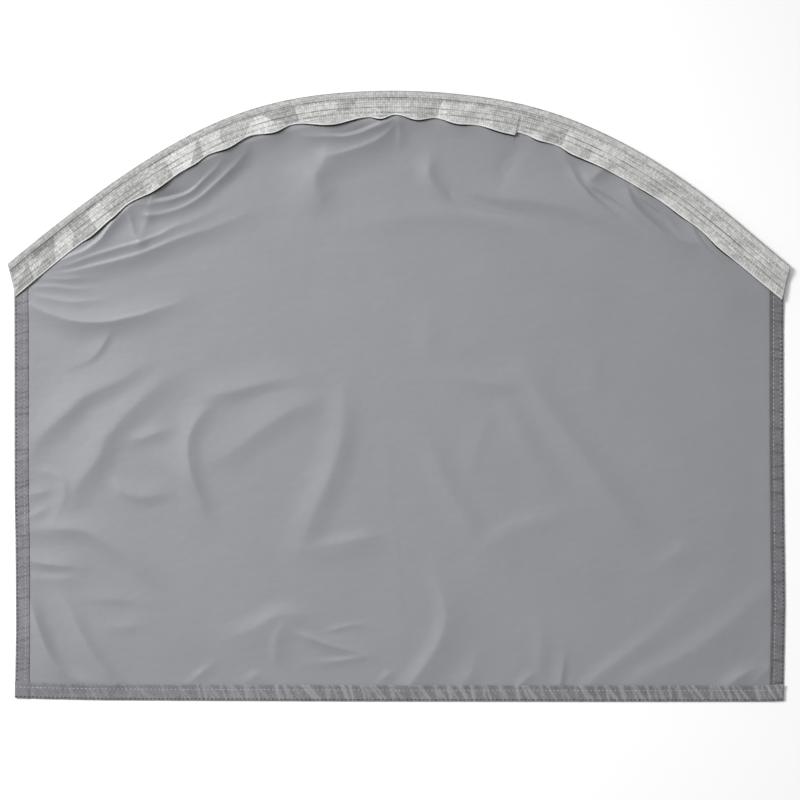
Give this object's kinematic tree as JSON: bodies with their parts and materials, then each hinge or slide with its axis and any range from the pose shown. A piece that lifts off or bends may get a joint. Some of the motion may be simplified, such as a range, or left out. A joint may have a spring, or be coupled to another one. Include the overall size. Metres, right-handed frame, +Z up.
{
  "type": "caravan wheel arch cover",
  "caption": "Flat cloth panel with an arched top, hemmed sides and foot, and a woven tape with a round bead along the arch.",
  "frame": {"origin": "bottom centre of the whole cover's box, on the surface that it lies on", "axes": "+X along the bottom hem to the right as seen from the side with the turned hems, +Y towards the arched top, +Z up out of the surface"},
  "size_m": [0.8125, 0.6351, 0.0091],
  "materials": {
    "coated_cloth": "smooth coated cloth with a soft sheen",
    "woven_tape": "matt ribbed weave"
  },
  "bodies": {
    "root": {"panel": "coated_cloth", "edge_tape": "woven_tape"}
  },
  "joints": []
}
